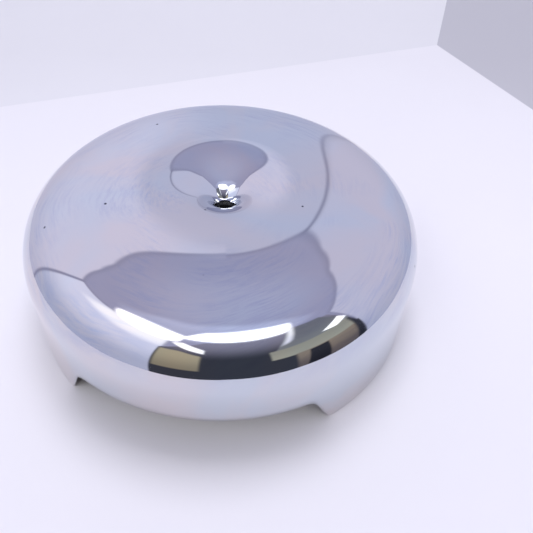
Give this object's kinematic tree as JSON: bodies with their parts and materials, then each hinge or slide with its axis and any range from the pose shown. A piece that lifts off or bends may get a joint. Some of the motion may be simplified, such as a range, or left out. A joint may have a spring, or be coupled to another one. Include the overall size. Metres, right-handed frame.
{
  "type": "air filter housing",
  "caption": "Round air filter housing: dished chrome cover with a notched skirt over a pleated ring element on a backplate with a carburettor adapter.",
  "frame": {"origin": "on the housing's centre line, in the plane that the cover's rim, the adapter's lower face and the standoffs stand on", "axes": "+Z along the centre line, out through the cover's crest; the notch in the skirt faces -Y, turned 10 degrees towards -X"},
  "size_m": [0.203, 0.2023, 0.0724],
  "materials": {
    "chrome_plate": "mirror polished, lightly scuffed",
    "filter_rubber": "matt",
    "filter_paper": "matt",
    "screen_wire": "satin",
    "backplate_enamel": "semi-gloss",
    "cast_aluminium": "as cast, machined faces",
    "turned_aluminium": "turned",
    "gasket_fibre": "matt",
    "black_rubber": "matt",
    "elbow_moulding": "satin",
    "zinc_plate": "zinc plated",
    "fastener_zinc": "zinc plated"
  },
  "bodies": {
    "base": {"backplate": "backplate_enamel", "carburettor_adapter": "cast_aluminium", "adapter_gasket": "gasket_fibre", "carburettor_o_ring": "black_rubber", "cover_bracket": "zinc_plate", "cover_post": "zinc_plate", "post_nut": "zinc_plate", "adapter_screw_washer_1": "fastener_zinc", "adapter_screw_1": "fastener_zinc", "adapter_screw_washer_2": "fastener_zinc", "adapter_screw_2": "fastener_zinc", "adapter_screw_washer_3": "fastener_zinc", "adapter_screw_3": "fastener_zinc", "bracket_screw_washer_1": "fastener_zinc", "bracket_screw_1": "fastener_zinc", "bracket_screw_washer_2": "fastener_zinc", "bracket_screw_2": "fastener_zinc", "support_bolt_washer_1": "fastener_zinc", "support_bolt_1": "fastener_zinc", "support_bolt_washer_2": "fastener_zinc", "support_bolt_2": "fastener_zinc", "bracket_nut_1": "fastener_zinc", "bracket_nut_2": "fastener_zinc", "support_standoff_1": "turned_aluminium", "support_standoff_2": "turned_aluminium", "breather_elbow": "elbow_moulding", "breather_grommet": "black_rubber"},
    "filter": {"filter_bottom_cap": "filter_rubber", "filter_top_cap": "filter_rubber", "filter_pleats": "filter_paper", "filter_inner_screen": "screen_wire", "filter_outer_screen": "screen_wire"},
    "cover": {"cover": "chrome_plate"}
  },
  "joints": [
    {"name": "cover_lift", "type": "slide", "parent": "base", "child": "cover", "axis": [0, 0, 1], "range_m": [0, 0.15]},
    {"name": "filter_lift", "type": "slide", "parent": "base", "child": "filter", "axis": [0, 0, 1], "range_m": [0, 0.06]}
  ],
  "couplings": [
    {"joint": "filter_lift", "follows": "cover_lift", "ratio": 0.4}
  ]
}
